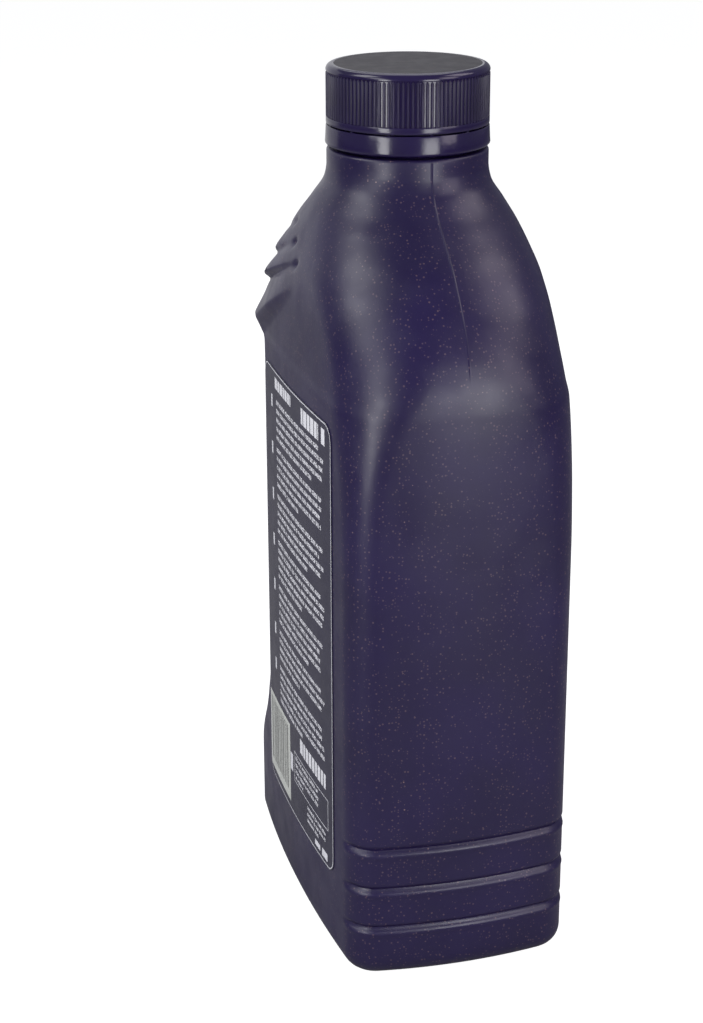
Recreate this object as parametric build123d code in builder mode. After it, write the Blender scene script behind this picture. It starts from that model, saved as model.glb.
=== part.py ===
from build123d import *
import math
import os

# One-litre motor oil bottle: a hollow blow-moulded body with a grip waist on one
# narrow side, a ribbed shoulder above it, a screw cap with a tamper ring, a sealing
# liner, a label on each broad face and the oil inside.
# Millimetres. +Z up, the neck's axis on x = y = 0 and the foot on z = 0. The back
# label faces -Y, the smooth narrow side +X and the grip -X.

# ---- driving dimensions ----
overall_height = 228.0
half_width = 54.3
half_depth = 32.0
corner_radius = 9.0
foot_radius = 5.3
face_bulge = 3.2
side_bulge = 3.8
wall = 1.2

foot_recess = 1.2
foot_rim = 4.5
least_corner = 2.0
straight_height = 24.0

grip_half_width = 40.0
grip_corner_radius = 14.0
grip_entry = 44.0
grip_entry_share = 0.72
grip_low = 62.0
grip_high = 112.0
grip_end = 151.0
grip_end_share = 0.8
grip_end_corner = 12.5
grip_end_bulge = 4.6

shoulder_base = 155.0
collar_radius = 20.5
collar_base = 203.0
collar_step = 0.2
collar_wall = 2.1

groove_count = 3
groove_low = 14.7
groove_pitch = 11.25
groove_width = 2.0
groove_depth = 0.8
groove_start = 44.0

rib_count = 3
rib_height = 1.8
rib_slope = 0.34
rib_first_x = -8.7
rib_first_z = 188.0
rib_step_x = 6.4
rib_step_z = 4.2
rib_gap = 1.3
last_rib_slope = 0.53
last_rib_drop = 7.6

cap_radius = 20.6
cap_top = 1.8
cap_wall = 1.65
cap_skirt = 14.6
cap_rim_round = 1.5
knurl_count = 108
knurl_depth = 0.35
knurl_margin_top = 1.6
knurl_margin_bottom = 1.7
knurl_overlap = 0.01
cutter_margin = 1.0
slit = 0.4
ring_height = 5.1
ring_flare = 0.25
ring_chamfer = 0.6
ring_lip = 1.8
ring_bridges = 12
bridge_width = 0.8
ring_to_collar = 0.7

liner_thickness = 1.2
liner_margin = 0.35
seal_clearance = 0.05

thread_pitch = 4.233
thread_turns = 1.25
thread_height = 1.15
thread_root = 2.0
thread_crest = 1.0
thread_clearance = 0.3
thread_below_rim = 3.1
neck_wall = 2.3
bead_lift = 0.4
bead_height = 1.8
rim_round = 0.4
collar_round = 0.8
ring_play = 0.35
thread_sink = 0.3

fill_height = 189.0
oil_clearance = 0.15

label_low = 23.5
label_high = 147.0
label_near = 37.8
label_far = 28.0
label_corner = 4.5
label_thickness = 0.15
label_gap = 0.06

# ---- levels and radii that follow from them ----
cap_bottom = overall_height - cap_skirt
ring_top = cap_bottom - slit
ring_bottom = ring_top - ring_height
collar_top = ring_bottom - ring_to_collar
cap_inside = cap_radius - cap_wall
cap_ceiling = overall_height - cap_top
liner_top = cap_ceiling - seal_clearance
liner_bottom = liner_top - liner_thickness
neck_rim = liner_bottom - seal_clearance
neck_radius = cap_inside - thread_clearance - thread_height
bead_radius = cap_inside - thread_clearance
neck_bore = neck_radius - neck_wall
thread_start = neck_rim - thread_below_rim - thread_pitch * thread_turns
waist = half_width - grip_half_width

# Stations of the blow-moulded shell, from the foot up. Each is: height, half width
# towards +X, half width towards -X, half depth, corner radius towards +X, corner
# radius towards -X, bulge of the broad faces, bulge of the narrow sides.
lower_stations = [
    (straight_height, half_width, half_width, half_depth,
     corner_radius, corner_radius, face_bulge, side_bulge),
    (grip_entry, half_width, half_width - grip_entry_share * waist, half_depth,
     corner_radius, (corner_radius + grip_corner_radius) / 2, face_bulge, side_bulge),
    (grip_low, half_width, half_width - waist, half_depth,
     corner_radius, grip_corner_radius, face_bulge, side_bulge),
    (grip_high, half_width, half_width - waist, half_depth,
     corner_radius, grip_corner_radius, face_bulge, side_bulge),
    (grip_end, half_width, half_width - grip_end_share * waist, half_depth,
     grip_end_corner, grip_corner_radius, face_bulge, grip_end_bulge),
]
# The shoulder. Each row is: share of the rise from the shoulder's base to the collar,
# share of the way in from the half width to the collar's radius, the same for the
# half depth, corner radius, bulge of the broad faces, bulge of the narrow sides.
shoulder_rows = [
    (0.00, 0.000, 0.035, 17.0, 3.5, 5.4),
    (0.17, 0.035, 0.065, 24.4, 4.0, 6.8),
    (0.34, 0.190, 0.090, 27.2, 4.6, 8.3),
    (0.48, 0.350, 0.140, 28.2, 5.6, 8.8),
    (0.59, 0.490, 0.278, 26.8, 6.2, 8.8),
    (0.72, 0.705, 0.478, 24.6, 6.6, 8.6),
    (0.82, 0.873, 0.696, 22.2, 7.5, 8.6),
    (0.93, 0.980, 0.960, 19.2, 12.0, 12.0),
    (1.00, 1.000, 1.000, 19.9, 16.0, 16.0),
]


def shoulder_station(rise, width_share, depth_share, corner, broad_bulge, narrow_bulge):
    """Turn one row of the shoulder into a station."""
    height = shoulder_base + rise * (collar_base - shoulder_base)
    top_radius = collar_radius - collar_step
    width = half_width + width_share * (top_radius - half_width)
    depth = half_depth + depth_share * (top_radius - half_depth)
    return (height, width, width, depth, corner, corner, broad_bulge, narrow_bulge)


stations = lower_stations + [shoulder_station(*row) for row in shoulder_rows]
bead_base = ring_bottom + ring_lip + bead_lift
# The body is lofted in runs: into the grip, along it, out of it, over the ledge that
# ends it, and up the shoulder.
body_runs = [stations[0:3], stations[2:4], stations[3:5], stations[4:6], stations[5:]]
inside_floor = foot_recess + wall


def arc_radius(half_chord, bulge):
    """Radius of an arc that rises by its bulge over twice the half chord."""
    return (half_chord**2 + bulge**2) / (2 * bulge)


def touching(first_centre, first_radius, second_centre, second_radius):
    """The upper of the two points at these distances from the two centres."""
    apart = math.dist(first_centre, second_centre)
    along = (first_radius**2 - second_radius**2 + apart**2) / (2 * apart)
    across = math.sqrt(first_radius**2 - along**2)
    ux = (second_centre[0] - first_centre[0]) / apart
    uy = (second_centre[1] - first_centre[1]) / apart
    return first_centre[0] + along * ux - across * uy, first_centre[1] + along * uy + across * ux


def outward(centre, through, radius):
    """The point at this radius from the centre, in the direction of another point."""
    length = math.dist(centre, through)
    return tuple(c + radius * (t - c) / length for c, t in zip(centre, through))


def corner_points(width, depth, side_arc, face_arc, corner):
    """Start, middle and end of the corner arc in the +X +Y quadrant."""
    side_centre = (width - side_arc, 0)
    face_centre = (0, depth - face_arc)
    centre = touching(side_centre, side_arc - corner, face_centre, face_arc - corner)
    start = outward(side_centre, centre, side_arc)
    end = outward(face_centre, centre, face_arc)
    middle = ((start[0] + end[0]) / 2, (start[1] + end[1]) / 2)
    return start, outward(centre, middle, corner), end


def body_section(station, offset):
    """Sketch one level of the body, grown by offset: four shallow arcs, round corners."""
    height, right, left, depth, right_corner, left_corner, broad, narrow = station
    face_arc = arc_radius(max(right, left), broad) + offset
    side_arc = arc_radius(depth, narrow) + offset
    right, left, depth = right + offset, left + offset, depth + offset
    right_corner = max(right_corner + offset, least_corner)
    left_corner = max(left_corner + offset, least_corner)
    q1, m1, e1 = corner_points(right, depth, side_arc, face_arc, right_corner)
    q2, m2, e2 = corner_points(left, depth, side_arc, face_arc, left_corner)
    with BuildSketch(Plane.XY.offset(height)) as section:
        with BuildLine():
            ThreePointArc((q1[0], -q1[1]), (right, 0), q1)
            ThreePointArc(q1, m1, e1)
            ThreePointArc(e1, (0, depth), (-e2[0], e2[1]))
            ThreePointArc((-e2[0], e2[1]), (-m2[0], m2[1]), (-q2[0], q2[1]))
            ThreePointArc((-q2[0], q2[1]), (-left, 0), (-q2[0], -q2[1]))
            ThreePointArc((-q2[0], -q2[1]), (-m2[0], -m2[1]), (-e2[0], -e2[1]))
            ThreePointArc((-e2[0], -e2[1]), (0, -depth), (e1[0], -e1[1]))
            ThreePointArc((e1[0], -e1[1]), (m1[0], -m1[1]), (q1[0], -q1[1]))
        make_face()
    return section.sketch


def foot_section(level, offset):
    """Sketch the lowest station's outline at another level."""
    return body_section((level,) + lower_stations[0][1:], offset)


def knurl_outline():
    """Closed zigzag round the skirt: one crest and one root for each knurl."""
    step = math.pi / knurl_count
    points = []
    for i in range(2 * knurl_count):
        radius = cap_radius + knurl_overlap - knurl_depth * (i % 2)
        points.append((radius * math.cos(i * step), radius * math.sin(i * step)))
    return points


def helical_thread(radius, outward_facing, start_height):
    """A trapezoid swept along a right-hand helix, rooted on a cylinder of this radius."""
    way = 1 if outward_facing else -1
    root = radius - way * thread_sink
    path = Helix(thread_pitch, thread_pitch * thread_turns, root, center=(0, 0, start_height))
    with BuildPart() as thread:
        with BuildSketch(Plane(origin=path @ 0, x_dir=(1, 0, 0), z_dir=path % 0)):
            with BuildLine():
                Polyline(
                    (0, -thread_root / 2),
                    (way * (thread_sink + thread_height), -thread_crest / 2),
                    (way * (thread_sink + thread_height), thread_crest / 2),
                    (0, thread_root / 2),
                    close=True,
                )
            make_face()
        sweep(path=path, is_frenet=True)
    return thread.part


# ---- bottle body ----
with BuildPart() as hollow:
    # the inside follows the outside at the wall's thickness
    extrude(foot_section(inside_floor, -wall), amount=straight_height - inside_floor)
    for run in body_runs:
        loft([body_section(station, -wall) for station in run])

with BuildPart() as ribs:
    # the shoulder a rib's height proud, kept only where the slanting bands run
    for run in body_runs[3:]:
        loft([body_section(station, rib_height) for station in run])
    with BuildSketch(Plane.XZ):
        for i in range(rib_count):
            x = rib_first_x + i * rib_step_x
            z = rib_first_z - i * rib_step_z - rib_gap / 2
            reach = x + half_width + 2 * rib_height
            last = i == rib_count - 1
            drop = last_rib_drop if last else rib_step_z + rib_slope * rib_step_x
            slope = last_rib_slope if last else rib_slope
            with BuildLine():
                Polyline(
                    (x, z),
                    (x - reach, z - rib_slope * reach),
                    (x - reach, z - drop + rib_gap - slope * reach),
                    (x, z - drop + rib_gap),
                    close=True,
                )
            make_face()
    extrude(amount=half_depth + 2 * rib_height, both=True, mode=Mode.INTERSECT)
    add(hollow.part, mode=Mode.SUBTRACT)

with BuildPart() as grooves:
    # what lies outside the groove's floor, in thin slabs across the smooth side
    with Locations(*[(groove_start, 0, groove_low + i * groove_pitch) for i in range(groove_count)]):
        Box(half_width, 3 * half_depth, groove_width, align=(Align.MIN, Align.CENTER, Align.CENTER))
    extrude(foot_section(0, -groove_depth), amount=overall_height / 3, mode=Mode.SUBTRACT)

with BuildPart() as bottle_body:
    extrude(foot_section(0, 0), amount=straight_height)
    fillet(bottle_body.faces().sort_by(Axis.Z)[0].edges(), foot_radius)
    for run in body_runs:
        loft([body_section(station, 0) for station in run])
    add(hollow.part, mode=Mode.SUBTRACT)
    add(grooves.part, mode=Mode.SUBTRACT)
    add(ribs.part)
    extrude(foot_section(0, -foot_radius - foot_rim), amount=foot_recess, mode=Mode.SUBTRACT)
    # collar, neck and the bead that holds the tamper ring
    with BuildSketch(Plane.XZ):
        with BuildLine():
            Polyline(
                (collar_radius - collar_wall, collar_base),
                (collar_radius, collar_base),
                (collar_radius, collar_top - collar_round),
                (collar_radius - collar_round, collar_top),
                (neck_radius, collar_top),
                (neck_radius, bead_base),
                (bead_radius, bead_base),
                (bead_radius, bead_base + bead_height / 3),
                (neck_radius, bead_base + bead_height),
                (neck_radius, neck_rim - rim_round),
                (neck_radius - rim_round, neck_rim),
                (neck_bore, neck_rim),
                (neck_bore, collar_top),
                close=True,
            )
        make_face()
    revolve(axis=Axis.Z)
    add(helical_thread(neck_radius, True, thread_start))
bottle_body.part.label = "bottle_body"

# ---- screw cap ----
with BuildPart() as screw_cap:
    with BuildSketch(Plane.XZ):
        with BuildLine():
            Polyline(
                (0, cap_bottom),
                (cap_radius, cap_bottom),
                (cap_radius, overall_height - cap_rim_round),
                (cap_radius - cap_rim_round, overall_height),
                (0, overall_height),
                close=True,
            )
        make_face()
    revolve(axis=Axis.Z)
    # vertical knurls round the skirt
    with BuildSketch(Plane.XY.offset(cap_bottom + knurl_margin_bottom)):
        Circle(cap_radius + cutter_margin)
        with BuildLine():
            Polyline(*knurl_outline(), close=True)
        make_face(mode=Mode.SUBTRACT)
    extrude(amount=cap_skirt - knurl_margin_bottom - knurl_margin_top, mode=Mode.SUBTRACT)
    with BuildSketch(Plane.XY.offset(cap_bottom)):
        Circle(cap_inside)
    extrude(amount=cap_ceiling - cap_bottom, mode=Mode.SUBTRACT)
    add(helical_thread(cap_inside, False, thread_start - thread_pitch / 2))
screw_cap.part.label = "screw_cap"

# ---- cap liner ----
with BuildPart() as cap_liner:
    with BuildSketch(Plane.XY.offset(liner_bottom)):
        Circle(cap_inside - liner_margin)
    extrude(amount=liner_thickness)
cap_liner.part.label = "cap_liner"

# ---- tamper ring ----
with BuildPart() as tamper_ring:
    with BuildSketch(Plane.XZ):
        with BuildLine():
            Polyline(
                (cap_inside, ring_top),
                (cap_radius, ring_top),
                (cap_radius + ring_flare, ring_bottom + ring_chamfer),
                (cap_radius - ring_chamfer, ring_bottom),
                (neck_radius + ring_play, ring_bottom),
                (neck_radius + ring_play, ring_bottom + ring_lip),
                (cap_inside, ring_bottom + ring_lip),
                close=True,
            )
        make_face()
    revolve(axis=Axis.Z)
    # stubs of the thin bridges that tie the ring to the cap
    with BuildSketch(Plane.XY.offset(ring_top)):
        with PolarLocations((cap_inside + cap_radius) / 2, ring_bridges):
            Rectangle(cap_wall - 2 * knurl_depth, bridge_width)
    extrude(amount=slit - seal_clearance)
tamper_ring.part.label = "tamper_ring"

# ---- oil ----
with BuildPart() as oil:
    extrude(foot_section(inside_floor + oil_clearance, -wall - oil_clearance),
            amount=straight_height - inside_floor - oil_clearance)
    for run in body_runs:
        loft([body_section(station, -wall - oil_clearance) for station in run])
    split(bisect_by=Plane.XY.offset(fill_height), keep=Keep.BOTTOM)
oil.part.label = "oil"


def label_sheet(name, side):
    """A thin label that follows the broad face on one side, -1 for -Y and 1 for +Y."""
    face_arc = arc_radius(half_width, face_bulge)
    centre = half_depth - face_arc
    with BuildPart() as label:
        with BuildSketch(Plane.XY.offset(label_low)):
            with Locations((0, side * centre)):
                Circle(face_arc + label_gap + label_thickness)
                Circle(face_arc + label_gap, mode=Mode.SUBTRACT)
        extrude(amount=label_high - label_low)
        with BuildSketch(Plane.XZ):
            with Locations(((label_near - label_far) / 2, (label_low + label_high) / 2)):
                RectangleRounded(label_near + label_far, label_high - label_low, label_corner)
        extrude(amount=-side * 2 * half_depth, mode=Mode.INTERSECT)
    label.part.label = name
    return label.part


# ---- labels ----
back_label = label_sheet("back_label", -1)
front_label = label_sheet("front_label", 1)

# ---- write each piece ----
os.makedirs("parts", exist_ok=True)
export_step(bottle_body.part, "parts/bottle_body.step")
export_step(screw_cap.part, "parts/screw_cap.step")
export_step(cap_liner.part, "parts/cap_liner.step")
export_step(tamper_ring.part, "parts/tamper_ring.step")
export_step(oil.part, "parts/oil.step")
export_step(back_label, "parts/back_label.step")
export_step(front_label, "parts/front_label.step")
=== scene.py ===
import math

import bmesh
import bpy
import numpy as np
from bpy.props import FloatProperty, FloatVectorProperty, IntProperty, PointerProperty
from mathutils import Matrix, Vector


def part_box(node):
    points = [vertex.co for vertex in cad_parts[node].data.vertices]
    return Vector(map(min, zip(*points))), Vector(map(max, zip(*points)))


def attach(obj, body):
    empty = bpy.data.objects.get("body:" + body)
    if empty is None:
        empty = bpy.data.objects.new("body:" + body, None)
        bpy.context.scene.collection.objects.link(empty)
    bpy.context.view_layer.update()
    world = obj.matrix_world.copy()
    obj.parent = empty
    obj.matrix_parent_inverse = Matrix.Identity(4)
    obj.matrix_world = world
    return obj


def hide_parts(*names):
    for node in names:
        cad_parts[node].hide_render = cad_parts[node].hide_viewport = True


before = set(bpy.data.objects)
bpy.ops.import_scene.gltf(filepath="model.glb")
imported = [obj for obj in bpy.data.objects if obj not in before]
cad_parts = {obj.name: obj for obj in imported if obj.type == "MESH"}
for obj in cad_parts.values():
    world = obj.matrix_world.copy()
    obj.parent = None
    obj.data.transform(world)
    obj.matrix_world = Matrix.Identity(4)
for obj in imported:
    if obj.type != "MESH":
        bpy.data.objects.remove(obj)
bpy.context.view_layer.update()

bl_info = {
    "name": "Motor Oil Bottle",
    "version": (1, 0, 0),
    "blender": (4, 5, 0),
    "location": "3D View > Sidebar > Bottle",
    "description": "Builds a blow-moulded oil bottle, its screw cap, tamper ring and labels",
    "category": "Object",
}

MM = 0.001
CAP_LOW, CAP_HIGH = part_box("screw_cap")
RING_LOW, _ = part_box("tamper_ring")
LINER_LOW, LINER_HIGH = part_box("cap_liner")
_, BODY_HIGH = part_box("bottle_body")
LABEL_LOW, LABEL_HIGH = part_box("back_label")
OIL_LOW, OIL_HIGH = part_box("oil")


# ---- settings -------------------------------------------------------------------


def size(name, description, default, **more):
    """A length property in millimetres."""
    return FloatProperty(name=name, description=description, default=default, min=0.0, **more)


def colour(name, description, default):
    """A colour property."""
    return FloatVectorProperty(
        name=name, description=description, default=default, subtype="COLOR", min=0.0, max=1.0
    )


class ShellSettings(bpy.types.PropertyGroup):
    half_width: size("Half width", "Neck axis to the smooth narrow side, mm", 54.3)
    half_depth: size("Half depth", "Neck axis to a broad face, mm", 32.0)
    grip_half_width: size("Grip half width", "Neck axis to the pulled-in grip, mm", 40.0)
    foot_radius: size("Foot radius", "Rounding of the foot's edge, mm", 5.3)
    wall: size("Wall", "Thickness of the moulded wall, mm", 1.2)
    rib_height: size("Rib height", "How far the shoulder ribs stand out, mm", 1.9)
    groove_depth: size("Groove depth", "Depth of the grooves above the foot, mm", 0.9)
    plastic: colour("Plastic", "Colour of the moulded body", (0.0100, 0.0052, 0.041))
    speck: colour("Speck", "Colour of the fine specks", (0.55, 0.36, 0.32))


class ClosureSettings(bpy.types.PropertyGroup):
    radius: size("Cap radius", "Outer radius of the cap's skirt, mm", 20.6)
    wall: size("Skirt wall", "Thickness of the cap's skirt, mm", 1.65)
    knurls: IntProperty(name="Knurls", description="Ridges round the skirt", default=108, min=12)
    knurl_depth: size("Knurl depth", "Height of each ridge, mm", 0.35)
    bridges: IntProperty(name="Bridges", description="Stubs on the ring", default=12, min=0)
    pitch: size("Thread pitch", "Rise of the thread in one turn, mm", 4.233)
    turns: FloatProperty(name="Thread turns", description="Turns of thread", default=1.25)
    plastic: colour("Plastic", "Colour of the cap and ring", (0.0130, 0.0078, 0.042))
    top: colour("Top", "Colour of the cap's matt top", (0.024, 0.022, 0.030))
    liner: colour("Liner", "Colour of the sealing disc", (0.8, 0.8, 0.78))


class LabelSettings(bpy.types.PropertyGroup):
    corner: size("Corner", "Corner radius of the label, mm", 4.5)
    row_pitch: size("Row pitch", "Spacing of the printed rows, mm", 2.45)
    seed: IntProperty(name="Seed", description="Seed of the printed rows", default=4)
    ground: colour("Ground", "Printed ground of the label", (0.013, 0.011, 0.035))
    ink: colour("Ink", "Pale print", (0.86, 0.86, 0.92))


class StudioSettings(bpy.types.PropertyGroup):
    azimuth: FloatProperty(name="Azimuth", description="Camera's direction, deg", default=17.008)
    distance: size("Distance", "Camera's distance from the neck axis, mm", 545.3)
    height: size("Height", "Camera's height, mm", 307.74)
    pitch: FloatProperty(name="Pitch", description="Camera's downward tilt, deg", default=20.035)
    yaw: FloatProperty(name="Yaw", description="Camera's turn off the axis, deg", default=1.518)
    roll: FloatProperty(name="Roll", description="Camera's roll, deg", default=-0.203)
    lens: FloatProperty(name="Lens", description="Focal length, mm", default=76.25)


# ---- shader maths ---------------------------------------------------------------


class Link:
    """A shader socket that takes part in Python expressions."""

    def __init__(self, tree, socket):
        self.tree = tree
        self.socket = socket

    def maths(self, operation, *values):
        return self.tree.node("ShaderNodeMath", {"operation": operation}, *values)

    def __add__(self, other):
        return self.maths("ADD", self, other)

    __radd__ = __add__

    def __sub__(self, other):
        return self.maths("SUBTRACT", self, other)

    def __rsub__(self, other):
        return self.maths("SUBTRACT", other, self)

    def __mul__(self, other):
        return self.maths("MULTIPLY", self, other)

    __rmul__ = __mul__

    def __lt__(self, other):
        return self.maths("LESS_THAN", self, other)


class Finish:
    """A new material whose nodes are made by one method."""

    def __init__(self, name):
        self.material = bpy.data.materials.new(name)
        self.material.use_nodes = True
        self.nodes = self.material.node_tree.nodes
        self.links = self.material.node_tree.links
        self.nodes.clear()

    def node(self, kind, settings, *values, output=0, **named):
        """Add a node: its settings first, then its sockets by place or by name."""
        made = self.nodes.new(kind)
        for key, value in settings.items():
            setattr(made, key, value)
        for key, value in list(enumerate(values)) + list(named.items()):
            socket = made.inputs[key.replace("_", " ") if isinstance(key, str) else key]
            if isinstance(value, Link):
                self.links.new(value.socket, socket)
            elif value is not None:
                socket.default_value = value
        return Link(self, made.outputs[output]) if made.outputs else None

    def place(self):
        """Object coordinates."""
        return self.node("ShaderNodeTexCoord", {}, output="Object")

    def parts(self, vector):
        """X, Y and Z of a vector."""
        made = self.nodes.new("ShaderNodeSeparateXYZ")
        self.links.new(vector.socket, made.inputs[0])
        return [Link(self, out) for out in made.outputs]

    def noise(self, vector, scale, detail=2.0, roughness=0.5):
        return self.node(
            "ShaderNodeTexNoise", {}, Vector=vector, Scale=scale, Detail=detail,
            Roughness=roughness, output=0,
        )

    def ramp(self, value, low, high, bottom=0.0, top=1.0):
        """Smooth step of a value from low..high to bottom..top."""
        return self.node(
            "ShaderNodeMapRange", {"interpolation_type": "SMOOTHSTEP"}, value, low, high,
            bottom, top,
        )

    def mix(self, factor, first, second):
        """Mix two colours."""
        made = self.nodes.new("ShaderNodeMix")
        made.data_type = "RGBA"
        for key, value in ((0, factor), (6, first), (7, second)):
            if isinstance(value, Link):
                self.links.new(value.socket, made.inputs[key])
            else:
                made.inputs[key].default_value = value
        return Link(self, made.outputs[2])

    def bump(self, height, strength, distance):
        return self.node(
            "ShaderNodeBump", {}, Strength=strength, Distance=distance, Height=height
        )

    def finish(self, **named):
        """Principled shader with these sockets, joined to the output."""
        shader = self.node("ShaderNodeBsdfPrincipled", {}, **named)
        self.node("ShaderNodeOutputMaterial", {}, shader)
        return self.material


def opaque(rgb):
    return (rgb[0], rgb[1], rgb[2], 1.0)


# scale of the cells, share that hold a speck, least and greatest radius, strength
SPECKS = ((1250.0, 0.8, 0.12, 0.30, 0.13), (620.0, 0.10, 0.05, 0.12, 0.35))


def moulded_plastic(name, rgb, speck, roughness, specks=True):
    """Satin moulded plastic: fine orange peel, faint flow clouds, sparse pale specks."""
    f = Finish(name)
    place = f.place()
    cloud = f.noise(place, 38.0, 3.0)
    base = f.mix(f.ramp(cloud, 0.35, 0.7), opaque(rgb), opaque([c * 1.25 for c in rgb]))
    if specks:
        for scale, share, small, large, strength in SPECKS:
            cells = f.nodes.new("ShaderNodeTexVoronoi")
            cells.inputs["Scale"].default_value = scale
            f.links.new(place.socket, cells.inputs["Vector"])
            near = Link(f, cells.outputs["Distance"])
            lot, spread, _ = f.parts(Link(f, cells.outputs["Color"]))
            mask = (near < f.ramp(spread, 0.0, 1.0, small, large)) * (lot < share)
            base = f.mix(mask * strength * spread, base, opaque(speck))
    peel = f.noise(place, 900.0, 2.0) * 0.6 + f.noise(place, 260.0, 2.0) * 0.4
    rough = f.ramp(f.noise(place, 120.0, 4.0), 0.3, 0.7, roughness - 0.04, roughness + 0.05)
    return f.finish(
        Base_Color=base, Roughness=rough, IOR=1.5, Normal=f.bump(peel, 0.25, 0.00012)
    )


def plain_plastic(name, rgb, roughness, grain=0.15):
    """Plain moulded plastic with a faint grain."""
    f = Finish(name)
    place = f.place()
    tone = f.ramp(f.noise(place, 180.0, 3.0), 0.3, 0.7)
    base = f.mix(tone, opaque([c * 0.9 for c in rgb]), opaque([min(1.0, c * 1.12) for c in rgb]))
    rough = f.ramp(f.noise(place, 300.0, 3.0), 0.3, 0.7, roughness - 0.03, roughness + 0.04)
    return f.finish(
        Base_Color=base, Roughness=rough, IOR=1.5,
        Normal=f.bump(f.noise(place, 1500.0, 2.0), grain, 0.0001),
    )


# ---- mesh helpers ---------------------------------------------------------------


def add_object(name, data):
    """A new object of this data, linked to the scene."""
    made = bpy.data.objects.new(name, data)
    bpy.context.scene.collection.objects.link(made)
    return made


def mesh_object(name, points, faces, materials, sharp=40.0):
    """A new smooth-shaded object at the origin, from points in millimetres."""
    mesh = bpy.data.meshes.new(name)
    mesh.from_pydata([tuple(p) for p in np.asarray(points) * MM], [], faces)
    mesh.validate()
    for material in materials:
        mesh.materials.append(material)
    mesh.shade_smooth()
    mesh.set_sharp_from_angle(angle=math.radians(sharp))
    return add_object(name, mesh)


def grid_faces(rows, columns, closed_rows=False):
    """Quads of a grid whose rows are rings."""
    faces = []
    last = rows if closed_rows else rows - 1
    for i in range(last):
        a, b = i * columns, (i + 1) % rows * columns
        for j in range(columns):
            k = (j + 1) % columns
            faces.append((a + j, a + k, b + k, b + j))
    return faces


def turned(name, profile, segments, materials, sharp=40.0):
    """Revolve a closed (radius, height) outline, given counter-clockwise in that plane."""
    angles = np.linspace(0, 2 * np.pi, segments, endpoint=False)
    rings = [
        np.c_[r * np.cos(angles), r * np.sin(angles), np.full(segments, z)] for r, z in profile
    ]
    return mesh_object(
        name, np.concatenate(rings), grid_faces(len(profile), segments, True), materials, sharp
    )


def fix_normals(piece):
    """Merge doubles and point every face outwards."""
    work = bmesh.new()
    work.from_mesh(piece.data)
    bmesh.ops.remove_doubles(work, verts=work.verts, dist=1e-6)
    bmesh.ops.dissolve_degenerate(work, edges=work.edges, dist=1e-7)
    bmesh.ops.recalc_face_normals(work, faces=work.faces)
    work.to_mesh(piece.data)
    work.free()
    return piece


def place_piece(piece, body, nodes):
    """Hang the piece on its body's empty and hide the CAD parts it stands in for."""
    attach(piece, body)
    if nodes:
        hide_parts(*nodes)
    return piece


def smooth(t):
    """Smooth step, clamped to 0..1."""
    t = np.clip(t, 0.0, 1.0)
    return t * t * (3 - 2 * t)


# ---- shape of the moulded body --------------------------------------------------

# Heights and radii in millimetres.
STRAIGHT = 24.0
GRIP_ENTRY, GRIP_LOW, GRIP_HIGH, GRIP_END = 44.0, 62.0, 112.0, 151.0
SHOULDER_BASE, COLLAR_BASE, COLLAR_RADIUS = 155.0, 203.0, 20.5
CORNER, GRIP_CORNER = 9.0, 14.0
FACE_BULGE, SIDE_BULGE = 3.2, 3.8
FOOT_RECESS = 1.2
# The shoulder. Each row is: share of the rise to the collar, share of the way in from the
# half width to the collar's radius, the same for the half depth, corner radius, bulge of
# the broad faces, bulge of the narrow sides.
SHOULDER = (
    (0.00, 0.012, 0.035, 20.0, 3.5, 5.4),
    (0.17, 0.075, 0.065, 24.4, 4.0, 6.8),
    (0.34, 0.200, 0.090, 27.2, 4.6, 8.3),
    (0.48, 0.355, 0.140, 28.2, 5.6, 8.8),
    (0.59, 0.490, 0.278, 26.8, 6.2, 8.8),
    (0.72, 0.705, 0.478, 24.6, 6.6, 8.6),
    (0.82, 0.873, 0.696, 22.2, 7.5, 8.6),
    (0.93, 0.980, 0.960, 19.2, 12.0, 12.0),
    (1.00, 1.000, 1.000, 19.9, 16.0, 16.0),
)


def body_stations(shell):
    """Rows of the body's shape at rising heights, as the CAD shell has them.

    Each is: height, half width to +X, to -X, half depth, corner radius to +X, to -X, bulge
    of the broad faces, bulge of the narrow sides.
    """
    full, depth = shell.half_width, shell.half_depth
    waist = full - shell.grip_half_width
    grip = full - waist
    rows = [
        (0.0, full, full, depth, CORNER, CORNER, FACE_BULGE, SIDE_BULGE),
        (STRAIGHT, full, full, depth, CORNER, CORNER, FACE_BULGE, SIDE_BULGE),
        (GRIP_ENTRY, full, full - 0.72 * waist, depth, CORNER, 11.5, FACE_BULGE, SIDE_BULGE),
        (GRIP_LOW, full, grip, depth, CORNER, GRIP_CORNER, FACE_BULGE, SIDE_BULGE),
        (GRIP_HIGH, full, grip, depth, CORNER, GRIP_CORNER, FACE_BULGE, SIDE_BULGE),
        (GRIP_END - 21, full, full - 0.9 * waist, depth, 10.8, GRIP_CORNER, FACE_BULGE, 4.0),
        (GRIP_END - 9, full, full - 0.85 * waist, depth, 14.0, GRIP_CORNER, FACE_BULGE, 4.4),
        (GRIP_END, full - 0.1, full - 0.8 * waist, depth, 17.8, GRIP_CORNER, FACE_BULGE, 4.9),
    ]
    for rise, inward, shallow, corner, broad, narrow in SHOULDER:
        width = full + inward * (COLLAR_RADIUS - full)
        height = SHOULDER_BASE + rise * (COLLAR_BASE - SHOULDER_BASE)
        thin = depth + shallow * (COLLAR_RADIUS - depth)
        rows.append((height, width, width, thin, corner, corner, broad, narrow))
    return np.array(rows)


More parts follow.
